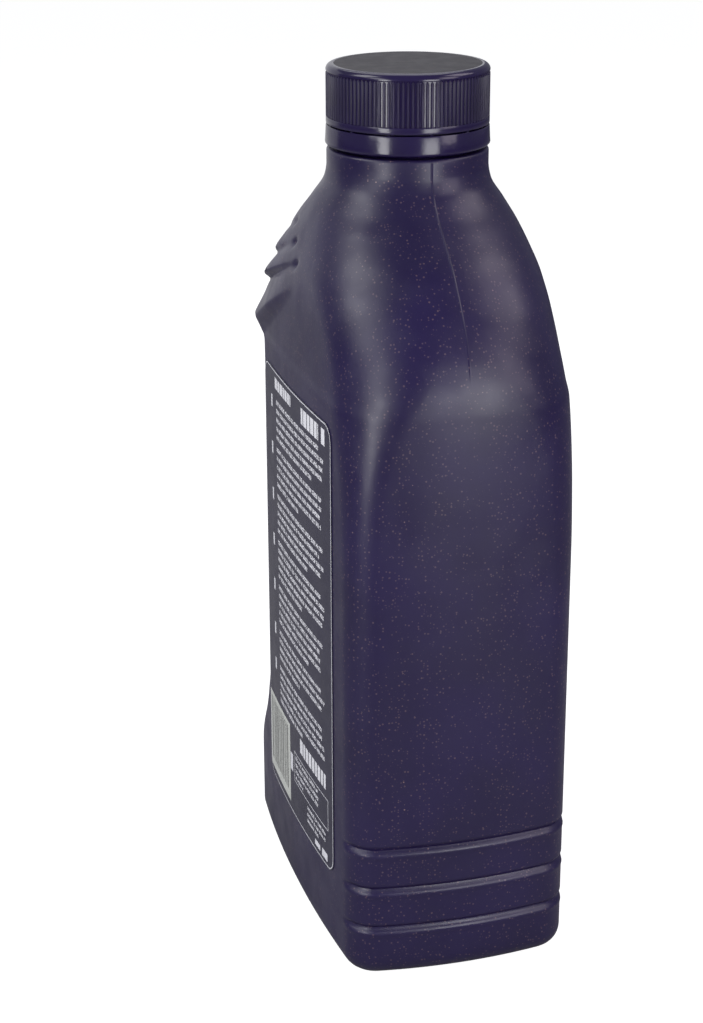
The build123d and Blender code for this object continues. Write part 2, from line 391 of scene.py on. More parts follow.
def monotone(x, table):
    """Monotone cubic through the rows of a table, the first column against the rest."""
    knots, values = table[:, 0], table[:, 1:]
    step = np.diff(knots)[:, None]
    slope = np.diff(values, axis=0) / step
    tangent = np.zeros_like(values)
    same = slope[1:] * slope[:-1] > 0
    w1, w2 = 2 * step[1:] + step[:-1], step[1:] + 2 * step[:-1]
    with np.errstate(divide="ignore", invalid="ignore"):
        mean = (w1 + w2) / (w1 / slope[:-1] + w2 / slope[1:])
    tangent[1:-1] = np.where(same, mean, 0.0)
    i = int(np.clip(np.searchsorted(knots, x) - 1, 0, len(knots) - 2))
    h = knots[i + 1] - knots[i]
    t = (x - knots[i]) / h
    return (
        (2 * t**3 - 3 * t**2 + 1) * values[i] + (t**3 - 2 * t**2 + t) * h * tangent[i]
        + (3 * t**2 - 2 * t**3) * values[i + 1] + (t**3 - t**2) * h * tangent[i + 1]
    )


# points along each arc of a section
FACE_POINTS, CORNER_POINTS, SIDE_POINTS = 104, 14, 34


def corner_centre(width, depth, side_arc, face_arc, corner):
    """Centre of the corner arc that touches the side's and the face's arcs."""
    ax, by = width - side_arc, depth - face_arc
    apart = math.hypot(ax, by)
    r1, r2 = side_arc - corner, face_arc - corner
    along = (r1 * r1 - r2 * r2 + apart * apart) / (2 * apart)
    across = math.sqrt(max(r1 * r1 - along * along, 0.0))
    ux, uy = -ax / apart, by / apart
    return ax + along * ux - across * uy, along * uy + across * ux


def arc_points(centre, radius, start, end, count):
    """Points along an arc, the last one left out, and their outward directions."""
    t = np.linspace(start, end, count, endpoint=False)
    points = np.c_[centre[0] + radius * np.cos(t), centre[1] + radius * np.sin(t)]
    return points, np.c_[np.cos(t), np.sin(t)]


def section(row, inset=0.0):
    """Outline of one level and its outward normals, counter-clockwise from -Y of +X."""
    right, left, depth, near_corner, far_corner, broad, narrow = row
    face_arc = (max(right, left) ** 2 + broad**2) / (2 * broad) - inset
    side_arc = (depth**2 + narrow**2) / (2 * narrow) - inset
    right, left, depth = right - inset, left - inset, depth - inset
    near_corner, far_corner = max(near_corner - inset, 0.6), max(far_corner - inset, 0.6)
    quads = []
    for width, corner in ((right, near_corner), (left, far_corner)):
        c = corner_centre(width, depth, side_arc, face_arc, corner)
        side_angle = math.atan2(c[1], c[0] - (width - side_arc))
        face_angle = math.atan2(c[1] - (depth - face_arc), c[0])
        quads.append((c, corner, side_angle, face_angle, width))
    (c1, r1, s1, f1, w1), (c2, r2, s2, f2, w2) = quads
    pi = math.pi
    runs = [
        ((w1 - side_arc, 0), side_arc, -s1, s1, SIDE_POINTS),
        (c1, r1, s1, f1, CORNER_POINTS),
        ((0, depth - face_arc), face_arc, f1, pi - f2, FACE_POINTS),
        ((-c2[0], c2[1]), r2, pi - f2, pi - s2, CORNER_POINTS),
        ((side_arc - w2, 0), side_arc, pi - s2, pi + s2, SIDE_POINTS),
        ((-c2[0], -c2[1]), r2, pi + s2, pi + f2, CORNER_POINTS),
        ((0, face_arc - depth), face_arc, pi + f2, 2 * pi - f1, FACE_POINTS),
        ((c1[0], -c1[1]), r1, -f1, -s1, CORNER_POINTS),
    ]
    made = [arc_points(*run) for run in runs]
    return np.concatenate([m[0] for m in made]), np.concatenate([m[1] for m in made])


# x and z of the first rib's upper end, and the step from it to the next
RIB_START, RIB_STEP = (-8.7, 188.0), (6.4, -4.2)
RIB_COUNT, RIB_SLOPE = 3, 0.34
LAST_RIB_DROP, LAST_RIB_SPREAD, LAST_RIB_FOOT = 7.6, 0.19, 152.4
RIBS_ABOVE = 60.0


def rib_relief(x, z, height):
    """Height of the slanting shoulder ribs over the plain shoulder at (x, z)."""
    relief = np.zeros_like(x)
    for i in range(RIB_COUNT):
        x0 = RIB_START[0] + i * RIB_STEP[0]
        away = x0 - x
        top = RIB_START[1] + i * RIB_STEP[1] - RIB_SLOPE * away
        last = i == RIB_COUNT - 1
        pitch = RIB_SLOPE * RIB_STEP[0] - RIB_STEP[1]
        if last:
            foot = top - LAST_RIB_DROP - LAST_RIB_SPREAD * away
            pitch = top - np.maximum(foot, LAST_RIB_FOOT)
        down = (top - z) / np.maximum(pitch, 1.0)
        fall = smooth((down - 0.62) / 0.45) if last else smooth((down - 0.76) / 0.26)
        rise = smooth(down / 0.8) * (1 - fall)
        relief += height * (0.75 + 0.25 * i) * rise * smooth(away / 26.0)
        pit = np.exp(-(((away - 2.2) / 2.0) ** 2) - ((z - top) / 1.1) ** 2)
        crease = np.exp(-(((z - top) / 1.05) ** 2)) * smooth(away / 3.0)
        relief -= 0.7 * pit + 0.35 * crease
    return relief


GROOVES = (14.7, 25.95, 37.2)
GROOVE_START = 44.0


def groove_relief(x, z, depth):
    """Depth of the grooves above the foot of the smooth side."""
    cut = np.zeros_like(x)
    for level in GROOVES:
        away = np.abs(z - level)
        cut += (1 - smooth(away / 1.35)) - 0.22 * np.exp(-(((z - level + 1.7) / 0.7) ** 2))
    return -depth * cut * smooth((x - GROOVE_START) / 4.0)


def outer_levels():
    """Heights of the rings of the outside, close together where there is detail."""
    spans = (
        (5.3, 11.0, 5), (11.0, 40.0, 60), (40.0, 146.0, 28), (146.0, 193.0, 96),
        (193.0, COLLAR_BASE, 12),
    )
    return np.concatenate([np.linspace(a, b, n, endpoint=False) for a, b, n in spans])


THREAD_HEIGHT, THREAD_CLEARANCE, THREAD_BELOW_RIM = 1.15, 0.3, 3.1
SEAL_CLEARANCE = 0.05
BORE = 15.2
RING_HEIGHT, RING_TO_COLLAR = 5.1, 0.7
COLLAR_ROUND = 0.8


def neck_root(closure):
    """Radius of the neck under its thread."""
    return closure.radius - closure.wall - (THREAD_HEIGHT + THREAD_CLEARANCE)


def thread_start(closure):
    """Height at which the neck's thread begins."""
    rim = LINER_LOW.z / MM - SEAL_CLEARANCE
    return rim - THREAD_BELOW_RIM - closure.pitch * closure.turns


def neck_outline(closure):
    """(radius, height) from the collar's foot, over the rim and down inside the bore."""
    root, crest = neck_root(closure), closure.radius - closure.wall - THREAD_CLEARANCE
    ring_low = RING_LOW.z / MM
    collar, rim = ring_low - RING_TO_COLLAR, BODY_HIGH.z / MM
    bead = ring_low + 2.2
    turn = []
    for a in np.linspace(0, math.pi / 2, 6):
        inward = COLLAR_ROUND * (1 - math.cos(a))
        turn.append((COLLAR_RADIUS - inward, collar - COLLAR_ROUND + COLLAR_ROUND * math.sin(a)))
    return [(COLLAR_RADIUS, COLLAR_BASE), (COLLAR_RADIUS, COLLAR_BASE + 2)] + turn + [
        (root + 0.4, collar), (root, collar + 0.4), (root, bead - 0.1), (root + 0.2, bead),
        (crest - 0.2, bead), (crest, bead + 0.2), (crest, bead + 0.6), (root + 0.1, bead + 1.7),
        (root, bead + 1.9), (root, rim - 0.6), (root - 0.15, rim - 0.15), (root - 0.6, rim),
        (BORE + 0.5, rim), (BORE + 0.15, rim - 0.15), (BORE, rim - 0.5), (BORE, collar + 1.0),
        (BORE + 0.4, collar + 0.2), (BORE + 2.4, COLLAR_BASE + 1.6),
    ]


def level_ring(points, z):
    """Points of one level with their height."""
    return np.c_[points, np.full(len(points), z)]


def shell_rings(shell, closure):
    """All rings of the hollow shell, from under the foot, up, over the rim, down inside."""
    table = body_stations(shell)
    base = monotone(STRAIGHT / 2, table)
    rings = []
    # under the foot: flat middle, step, standing rim, rounded edge
    for inset, z in (
        (27.0, FOOT_RECESS), (14.0, FOOT_RECESS), (11.2, 1.15), (10.4, 0.8), (9.8, 0.15),
        (9.3, 0.0), (5.6, 0.0),
    ):
        rings.append(level_ring(section(base, inset)[0], z))
    for a in np.linspace(0.12, math.pi / 2, 9, endpoint=False):
        inset = shell.foot_radius * (1 - math.sin(a))
        rings.append(level_ring(section(base, inset)[0], shell.foot_radius * (1 - math.cos(a))))
    for z in outer_levels():
        points, normals = section(monotone(z, table))
        lift = groove_relief(points[:, 0], z, shell.groove_depth)
        if z >= RIBS_ABOVE:
            lift = rib_relief(points[:, 0], z, shell.rib_height) + lift
        rings.append(level_ring(points + lift[:, None] * normals, z))
    top, _ = section(monotone(COLLAR_BASE, table))
    angle = np.arctan2(top[:, 1], top[:, 0])
    for r, z in neck_outline(closure):
        rings.append(level_ring(np.c_[r * np.cos(angle), r * np.sin(angle)], z))
    for z in np.concatenate([np.linspace(COLLAR_BASE, 150.0, 16), np.linspace(142.0, 10.0, 14)]):
        rings.append(level_ring(section(monotone(z, table), shell.wall)[0], z))
    wall, floor = shell.wall, FOOT_RECESS + shell.wall
    for inset, z in (
        (wall + 0.6, floor + 2.0), (wall + 2.4, floor + 0.4), (wall + 4.5, floor), (26.0, floor)
    ):
        rings.append(level_ring(section(base, inset)[0], z))
    return rings


def capped_faces(rings):
    """Quads between the rings of a stack, with a face over each end."""
    count = len(rings[0])
    last = (len(rings) - 1) * count
    return grid_faces(len(rings), count) + [
        tuple(range(count))[::-1], tuple(last + j for j in range(count))
    ]


SEAM_END = 158.0


class BOTTLE_OT_shell(bpy.types.Operator):
    """Build the hollow moulded bottle with its grip, ribs, grooves and neck"""

    bl_idname = "bottle.shell"
    bl_label = "Moulded Body"

    def execute(self, context):
        shell, closure = context.scene.bottle_shell, context.scene.bottle_closure
        finish = moulded_plastic("body_plastic", shell.plastic, shell.speck, 0.36)
        rings = shell_rings(shell, closure)
        piece = mesh_object("bottle_shell", np.concatenate(rings), capped_faces(rings), [finish])
        place_piece(piece, "bottle", ["bottle_body"])

        root, start = neck_root(closure), thread_start(closure)
        thread = thread_strip("neck_thread", root, 1, start, closure, finish)
        place_piece(thread, "bottle", [])

        table = body_stations(shell)
        line = [(COLLAR_RADIUS, COLLAR_BASE + 3.4), (COLLAR_RADIUS, COLLAR_BASE + 1.5)]
        for z in np.linspace(COLLAR_BASE, SEAM_END, 60):
            points, _ = section(monotone(z, table))
            line.append((points[:, 0].max(), z))
        seam = seam_strip("mould_seam", line, finish)
        place_piece(seam, "bottle", [])
        return {"FINISHED"}


OIL_CLEARANCE = 0.25


class BOTTLE_OT_contents(bpy.types.Operator):
    """Fill the bottle with oil up to its level"""

    bl_idname = "bottle.contents"
    bl_label = "Oil"

    def execute(self, context):
        shell = context.scene.bottle_shell
        f = Finish("oil")
        tone = f.ramp(f.noise(f.place(), 12.0, 2.0), 0.3, 0.7)
        base = f.mix(tone, (0.50, 0.26, 0.04, 1.0), (0.58, 0.32, 0.06, 1.0))
        amber = f.finish(Base_Color=base, Roughness=0.12, IOR=1.47)
        table = body_stations(shell)
        gap = shell.wall + OIL_CLEARANCE
        low, high = OIL_LOW.z / MM, OIL_HIGH.z / MM
        rings = []
        for inset, z in ((gap + 4.5, low), (gap + 1.6, low + 0.5), (gap + 0.4, low + 2.0)):
            rings.append(level_ring(section(monotone(STRAIGHT / 2, table), inset)[0], z))
        for z in np.concatenate([np.linspace(10.0, 146.0, 18), np.linspace(148.0, high, 30)]):
            rings.append(level_ring(section(monotone(z, table), gap)[0], z))
        piece = mesh_object("oil_fill", np.concatenate(rings), capped_faces(rings), [amber])
        place_piece(fix_normals(piece), "bottle", ["oil"])
        return {"FINISHED"}


def thread_strip(name, radius, way, start, closure, finish):
    """A helical ridge with tapered ends, rooted in a cylinder: way is 1 outside, -1 inside."""
    steps = 150
    outline = [
        (-0.3, -1.0), (0.0, -1.0), (1.0, -0.45), (THREAD_HEIGHT, 0.0), (1.0, 0.45), (0.0, 1.0),
        (-0.3, 1.0),
    ]
    rings = []
    for i in range(steps + 1):
        share = i / steps
        angle = 2 * math.pi * closure.turns * share
        ease = float(smooth(min(share, 1 - share) / 0.06))
        z = start + closure.pitch * closure.turns * share
        ring = []
        for out, up in outline:
            r = radius + way * (out if out < 0 else out * ease)
            ring.append((r * math.cos(angle), r * math.sin(angle), z + up * (0.4 + 0.6 * ease)))
        rings.append(ring)
    return fix_normals(mesh_object(name, np.concatenate(rings), capped_faces(rings), [finish]))


def seam_strip(name, line, finish):
    """The mould's parting line: a fine ridge down the middle of the smooth side."""
    outline = [(0.0, -0.35), (0.10, -0.12), (0.16, 0.0), (0.10, 0.12), (0.0, 0.35), (-0.3, 0.0)]
    rings = []
    for i, (x, z) in enumerate(line):
        before, after = line[max(i - 1, 0)], line[min(i + 1, len(line) - 1)]
        along = Vector((after[0] - before[0], after[1] - before[1])).normalized()
        out = Vector((-along.y, along.x))
        if out.x < 0:
            out = -out
        ease = float(smooth((len(line) - 1 - i) / 12.0))
        rings.append([(x + out.x * h * ease, y, z + out.y * h * ease) for h, y in outline])
    return fix_normals(mesh_object(name, np.concatenate(rings), capped_faces(rings), [finish]))


# ---- repeats made with Geometry Nodes -------------------------------------------


def ring_of_copies(name, copy, finish, count, radius, height):
    """Copies of a small mesh set round the neck's axis by a Geometry Nodes tree."""
    tree = bpy.data.node_groups.new(name + "_tree", "GeometryNodeTree")
    tree.is_modifier = True
    face = tree.interface
    face.new_socket("Geometry", in_out="INPUT", socket_type="NodeSocketGeometry")
    face.new_socket("Geometry", in_out="OUTPUT", socket_type="NodeSocketGeometry")
    sizes = {
        "Count": ("NodeSocketInt", count),
        "Radius": ("NodeSocketFloat", radius * MM),
        "Height": ("NodeSocketFloat", height * MM),
    }
    wanted = {}
    for label, (kind, value) in sizes.items():
        wanted[face.new_socket(label, in_out="INPUT", socket_type=kind).identifier] = value
    nodes, links = tree.nodes, tree.links
    enter, leave = nodes.new("NodeGroupInput"), nodes.new("NodeGroupOutput")
    circle = nodes.new("GeometryNodeMeshCircle")
    lift = nodes.new("GeometryNodeTransform")
    upward = nodes.new("ShaderNodeCombineXYZ")
    place = nodes.new("GeometryNodeInputPosition")
    flat = nodes.new("ShaderNodeVectorMath")
    turn = nodes.new("FunctionNodeAlignRotationToVector")
    copies = nodes.new("GeometryNodeInstanceOnPoints")
    realize = nodes.new("GeometryNodeRealizeInstances")
    paint = nodes.new("GeometryNodeSetMaterial")
    flat.operation = "MULTIPLY"
    flat.inputs[1].default_value = (1.0, 1.0, 0.0)
    turn.axis = "X"
    turn.pivot_axis = "Z"
    paint.inputs["Material"].default_value = finish
    links.new(enter.outputs["Count"], circle.inputs["Vertices"])
    links.new(enter.outputs["Radius"], circle.inputs["Radius"])
    links.new(enter.outputs["Height"], upward.inputs["Z"])
    links.new(upward.outputs[0], lift.inputs["Translation"])
    links.new(circle.outputs["Mesh"], lift.inputs["Geometry"])
    links.new(place.outputs[0], flat.inputs[0])
    links.new(flat.outputs[0], turn.inputs["Vector"])
    links.new(lift.outputs[0], copies.inputs["Points"])
    links.new(enter.outputs["Geometry"], copies.inputs["Instance"])
    links.new(turn.outputs[0], copies.inputs["Rotation"])
    links.new(copies.outputs[0], realize.inputs[0])
    links.new(realize.outputs[0], paint.inputs["Geometry"])
    links.new(paint.outputs[0], leave.inputs[0])

    modifier = copy.modifiers.new("Ring of copies", "NODES")
    modifier.node_group = tree
    for identifier, value in wanted.items():
        modifier[identifier] = value
    final = copy.evaluated_get(bpy.context.evaluated_depsgraph_get())
    result = bpy.data.meshes.new_from_object(final)
    copy.modifiers.remove(modifier)
    bpy.data.objects.remove(copy)
    result.name = name
    return fix_normals(add_object(name, result))


def knurl_copy(length, width, depth, finish):
    """One ridge, standing on z = 0 with its root on x = 0; its foot narrows to a point."""
    half = width / 2
    points = []
    for z, share in ((0.0, 0.05), (0.9, 1.0), (length - 0.5, 1.0), (length, 0.25)):
        points += [(-0.2, -half * share, z), (depth * share, -half * 0.35 * share, z),
                   (depth * share, half * 0.35 * share, z), (-0.2, half * share, z)]
    faces = grid_faces(4, 4) + [(3, 2, 1, 0), (12, 13, 14, 15)]
    return mesh_object("knurl", points, faces, [finish], 30.0)


def stub_copy(depth, width, height, finish):
    """One broken bridge: a small tapered stub on z = 0."""
    points = []
    for z, share in ((-0.1, 1.0), (height * 0.7, 0.8), (height, 0.35)):
        x, y = depth * share / 2, width * share / 2
        points += [(-x, -y, z), (x, -y, z), (x, y, z), (-x, y, z)]
    faces = grid_faces(3, 4) + [(3, 2, 1, 0), (8, 9, 10, 11)]
    return mesh_object("stub", points, faces, [finish], 30.0)


CAP_TOP = 1.8


class BOTTLE_OT_closure(bpy.types.Operator):
    """Build the knurled cap with its thread, the tamper ring and the sealing liner"""

    bl_idname = "bottle.closure"
    bl_label = "Cap, Ring and Liner"

    def execute(self, context):
        c = context.scene.bottle_closure
        gloss = moulded_plastic("cap_plastic", c.plastic, (0.4, 0.3, 0.3), 0.17, specks=False)
        matt = plain_plastic("cap_top_plastic", c.top, 0.6, 0.6)
        radius, inside = c.radius, c.radius - c.wall
        bottom, top = CAP_LOW.z / MM, CAP_HIGH.z / MM
        ceiling = top - CAP_TOP
        root = radius - c.knurl_depth
        ledge, disc = bottom + 1.75, radius * 0.915
        rim = [(disc + (radius - 0.02 - disc) * math.sin(a), top - 1.45 * (1 - math.cos(a)))
               for a in np.linspace(0.15, math.pi / 2, 10)]
        outline = [
            (0.0, ceiling), (inside - 0.4, ceiling), (inside, ceiling - 0.4), (inside, bottom + 0.15),
            (inside + 0.15, bottom), (radius - 0.2, bottom), (radius - 0.05, bottom + 0.06),
            (radius, bottom + 0.2), (radius, ledge - 0.25), (radius - 0.06, ledge - 0.06),
            (root + 0.05, ledge), (root, ledge + 0.05), (root, top - 1.9), (root + 0.1, top - 1.75),
            (radius - 0.04, top - 1.65),
        ] + rim[::-1] + [
            (disc, top), (disc - 0.25, top - 0.05), (disc - 0.5, top - 0.05), (0.0, top - 0.05)
        ]
        cap = turned("cap_shell", outline, 2 * c.knurls, [gloss, matt], 32.0)
        fix_normals(cap)
        for face in cap.data.polygons:
            centre = face.center
            if centre.z > (top - 0.06) * MM and math.hypot(centre.x, centre.y) < (disc - 0.2) * MM:
                face.material_index = 1
        place_piece(cap, "cap", ["screw_cap"])

        length = top - 1.85 - (ledge - 0.75)
        width = 2 * math.pi * root / c.knurls
        satin = plain_plastic("knurl_plastic", c.plastic, 0.45, 0.2)
        ridge = knurl_copy(length, width * 0.92, c.knurl_depth - 0.02, satin)
        knurls = ring_of_copies("cap_knurls", ridge, satin, c.knurls, root, ledge - 0.75)
        place_piece(knurls, "cap", [])

        start = thread_start(c) - c.pitch / 2
        thread = thread_strip("cap_thread", inside, -1, start, c, gloss)
        place_piece(thread, "cap", [])

        low, high = RING_LOW.z / MM, RING_LOW.z / MM + RING_HEIGHT
        lip = inside - 1.1
        ring_outline = [
            (lip, low + 0.2), (lip + 0.2, low), (radius - 0.6, low), (radius - 0.1, low + 0.2),
            (radius + 0.2, low + 0.55), (radius + 0.25, low + 0.8), (radius + 0.18, low + 1.6),
            (radius + 0.02, high - 0.35), (radius - 0.05, high - 0.08), (radius - 0.15, high),
            (inside + 0.1, high), (inside, high - 0.1), (inside, low + 1.9), (lip, low + 1.7),
        ]
        ring = turned("ring_shell", ring_outline, 144, [gloss], 32.0)
        fix_normals(ring)
        place_piece(ring, "bottle", ["tamper_ring"])
        stub = stub_copy(c.wall - 0.7, 0.8, 0.33, gloss)
        stubs = ring_of_copies("ring_bridges", stub, gloss, c.bridges, (inside + radius) / 2, high)
        place_piece(stubs, "bottle", [])

        foam = plain_plastic("liner_foam", c.liner, 0.75, 0.5)
        low, high = LINER_LOW.z / MM, LINER_HIGH.z / MM
        edge = LINER_HIGH.x / MM
        liner = turned(
            "liner_disc",
            [(0.0, low), (edge - 2.6, low), (edge - 2.3, low + 0.06), (edge - 0.3, low + 0.06),
             (edge, low + 0.3), (edge, high - 0.3), (edge - 0.3, high), (0.0, high)],
            96, [foam], 32.0,
        )
        fix_normals(liner)
        place_piece(liner, "liner", ["cap_liner"])
        return {"FINISHED"}


# ---- labels ---------------------------------------------------------------------

HALF_WIDTH, HALF_DEPTH = 54.3, 32.0
FACE_ARC = (HALF_WIDTH**2 + FACE_BULGE**2) / (2 * FACE_BULGE)
FILM = 0.19
LINE_INSET, LINE_WIDTH = 0.35, 0.26
ROW_HEIGHT, WORD_GAP, PARAGRAPH_GAP = 1.25, 0.55, 0.95


def on_face(x, side, out):
    """Y of the broad face at x, out millimetres proud: side is -1 for -Y, 1 for +Y."""
    reach = FACE_ARC + out
    return side * (HALF_DEPTH - FACE_ARC + np.sqrt(reach**2 - np.asarray(x, float) ** 2))


def patch(x0, x1, z0, z1, side, out, steps):
    """Points and quads of a strip that follows the broad face."""
    xs = np.linspace(x0, x1, steps + 1)
    points = [(x, float(on_face(x, side, out)), z) for z in (z0, z1) for x in xs]
    n = steps + 1
    faces = [(i, i + 1, n + i + 1, n + i) for i in range(steps)]
    if side > 0:
        faces = [f[::-1] for f in faces]
    return points, faces


def rounded_outline(x0, x1, z0, z1, corner):
    """Points round a rounded rectangle, counter-clockwise from its right side."""
    outline = []
    for cx, cz, start in ((x1 - corner, z1 - corner, 0), (x0 + corner, z1 - corner, 90),
                          (x0 + corner, z0 + corner, 180), (x1 - corner, z0 + corner, 270)):
        for a in np.radians(np.linspace(start, start + 90, 8)):
            outline.append((cx + corner * math.cos(a), cz + corner * math.sin(a)))
    return outline


def rounded_sheet(name, x0, x1, z0, z1, corner, side, finish):
    """A label: a rounded rectangle bent to the face, with its own thin edge."""
    work = bmesh.new()
    loop = [work.verts.new((x, 0, z)) for x, z in rounded_outline(x0, x1, z0, z1, corner)]
    work.faces.new(loop)
    for x in np.linspace(x0, x1, 40)[1:-1]:
        geometry = work.verts[:] + work.edges[:] + work.faces[:]
        bmesh.ops.bisect_plane(work, geom=geometry, plane_co=(x, 0, 0), plane_no=(1, 0, 0))
    for vert in work.verts:
        vert.co.y = float(on_face(vert.co.x, side, FILM))
        vert.co *= MM
    rim = bmesh.ops.extrude_edge_only(work, edges=[e for e in work.edges if e.is_boundary])
    for vert in (v for v in rim["geom"] if isinstance(v, bmesh.types.BMVert)):
        vert.co.y -= side * FILM * MM
    mesh = bpy.data.meshes.new(name)
    bmesh.ops.recalc_face_normals(work, faces=work.faces)
    work.faces.ensure_lookup_table()
    facing = sum(f.normal.y * f.calc_area() for f in work.faces)
    if facing * side < 0:
        bmesh.ops.reverse_faces(work, faces=work.faces)
    work.to_mesh(mesh)
    work.free()
    mesh.materials.append(finish)
    mesh.shade_smooth()
    mesh.set_sharp_from_angle(angle=math.radians(40))
    return add_object(name, mesh)


def label_film(settings):
    """Printed film: satin varnish over a flat dark ground."""
    f = Finish("label_film")
    place = f.place()
    tone = f.ramp(f.noise(place, 90.0, 3.0), 0.3, 0.7)
    base = f.mix(tone, opaque(settings.ground), opaque([c * 1.15 for c in settings.ground]))
    rough = f.ramp(f.noise(place, 200.0, 3.0), 0.3, 0.7, 0.30, 0.36)
    return f.finish(Base_Color=base, Roughness=rough, IOR=1.5,
                    Normal=f.bump(f.noise(place, 700.0, 2.0), 0.1, 0.0001))


def ink_finish(name, rgb, ground, breakup):
    """Pale print; breakup turns plain dashes into rows of fine strokes."""
    f = Finish(name)
    place = f.place()
    if breakup:
        x, _, z = f.parts(place)
        cell = f.node("ShaderNodeCombineXYZ", {}, x * 2600.0, 0.0, z * 2100.0)
        strokes = f.noise(cell, 1.0, 1.0)
        base = f.mix(f.ramp(strokes, 0.40, 0.56), opaque(ground), opaque(rgb))
    else:
        tone = f.ramp(f.noise(place, 500.0, 2.0), 0.3, 0.7)
        base = f.mix(tone, opaque([c * 0.93 for c in rgb]), opaque(rgb))
    return f.finish(Base_Color=base, Roughness=0.35, IOR=1.5)


class Print:
    """Collects flat marks for one label and turns them into one piece per ink."""

    def __init__(self, side):
        self.side = side
        self.marks = {}

    def mark(self, ink, x0, x1, z0, z1, out=0.22):
        steps = max(1, int(abs(x1 - x0) / 3.0))
        points, faces = patch(x0, x1, z0, z1, self.side, out, steps)
        kept_points, kept_faces = self.marks.setdefault(ink, ([], []))
        start = len(kept_points)
        kept_points += points
        kept_faces += [tuple(start + i for i in face) for face in faces]

    def border(self, ink, x0, x1, z0, z1, corner, out=0.21):
        """A fine line with rounded corners, just inside the label's edge."""
        outer, inner = [
            rounded_outline(x0 + inset, x1 - inset, z0 + inset, z1 - inset, corner - inset)
            for inset in (LINE_INSET, LINE_INSET + LINE_WIDTH)
        ]
        kept_points, kept_faces = self.marks.setdefault(ink, ([], []))
        count = len(outer)
        for i in range(count):
            j = (i + 1) % count
            steps = max(1, int(abs(outer[j][0] - outer[i][0]) / 3.0))
            for step in range(steps):
                a, b = step / steps, (step + 1) / steps
                ring = []
                for line, share in ((outer, a), (outer, b), (inner, b), (inner, a)):
                    x = line[i][0] + share * (line[j][0] - line[i][0])
                    z = line[i][1] + share * (line[j][1] - line[i][1])
                    ring.append((x, float(on_face(x, self.side, out)), z))
                start = len(kept_points)
                kept_points += ring
                face = tuple(range(start, start + 4))
                kept_faces.append(face[::-1] if self.side > 0 else face)

    def frame(self, ink, x0, x1, z0, z1, width):
        """An outlined box."""
        self.mark(ink, x0, x1, z0, z0 + width)
        self.mark(ink, x0, x1, z1 - width, z1)
        self.mark(ink, x0, x0 + width, z0, z1)
        self.mark(ink, x1 - width, x1, z0, z1)

    def blocks(self, draw, x0, x1, z0, z1, gap):
        """Plain upright blocks of uneven width, as a heavy heading looks from afar."""
        x = x0
        while x < x1 - gap:
            wide = min(draw.uniform(1.5, 2.9), x1 - x)
            self.mark("solid", x, x + wide, z0, z1)
            x += wide + gap

    def rows(self, draw, ink, x0, x1, top, count, pitch, height, ragged):
        """Rows of short dashes with ragged ends, as set text looks from afar."""
        for row in range(count):
            z = top - row * pitch
            last = row == count - 1
            end = x1 - ragged * draw.random()
            if last:
                end -= 0.5 * (x1 - x0) * draw.random()
            x = x0
            while x < end - 0.8:
                word = min(draw.uniform(1.1, 6.5), end - x)
                self.mark(ink, x, x + word, z - height, z)
                x += word + WORD_GAP

    def pieces(self, name, finishes):
        return [
            mesh_object(name + "_" + ink, points, faces, [finishes[ink]])
            for ink, (points, faces) in self.marks.items()
        ]


class BOTTLE_OT_labels(bpy.types.Operator):
    """Build both labels and their plain, nameless print"""

    bl_idname = "bottle.labels"
    bl_label = "Labels"

    def execute(self, context):
        s = context.scene.bottle_label
        x0, x1 = LABEL_LOW.x / MM, LABEL_HIGH.x / MM
        z0, z1 = LABEL_LOW.z / MM, LABEL_HIGH.z / MM
        film = label_film(s)
        finishes = {
            "text": ink_finish("text_ink", s.ink, s.ground, True),
            "solid": ink_finish("solid_ink", s.ink, s.ground, False),
            "pale": ink_finish("pale_panel", (0.66, 0.68, 0.64), s.ground, False),
            "dark": ink_finish("dark_bars", (0.10, 0.10, 0.10), s.ground, False),
        }
        back = rounded_sheet("back_sheet", x0, x1, z0, z1, s.corner, -1, film)
        place_piece(back, "bottle", ["back_label"])
        printed = back_print(s, x0, x1, z0, z1)
        for piece in printed.pieces("back_print", finishes):
            place_piece(piece, "bottle", [])

        front = rounded_sheet("front_sheet", x0, x1, z0, z1, s.corner, 1, film)
        place_piece(front, "bottle", ["front_label"])
        printed = front_print(s, x0, x1, z0, z1)
        for piece in printed.pieces("front_print", finishes):
            place_piece(piece, "bottle", [])
        return {"FINISHED"}


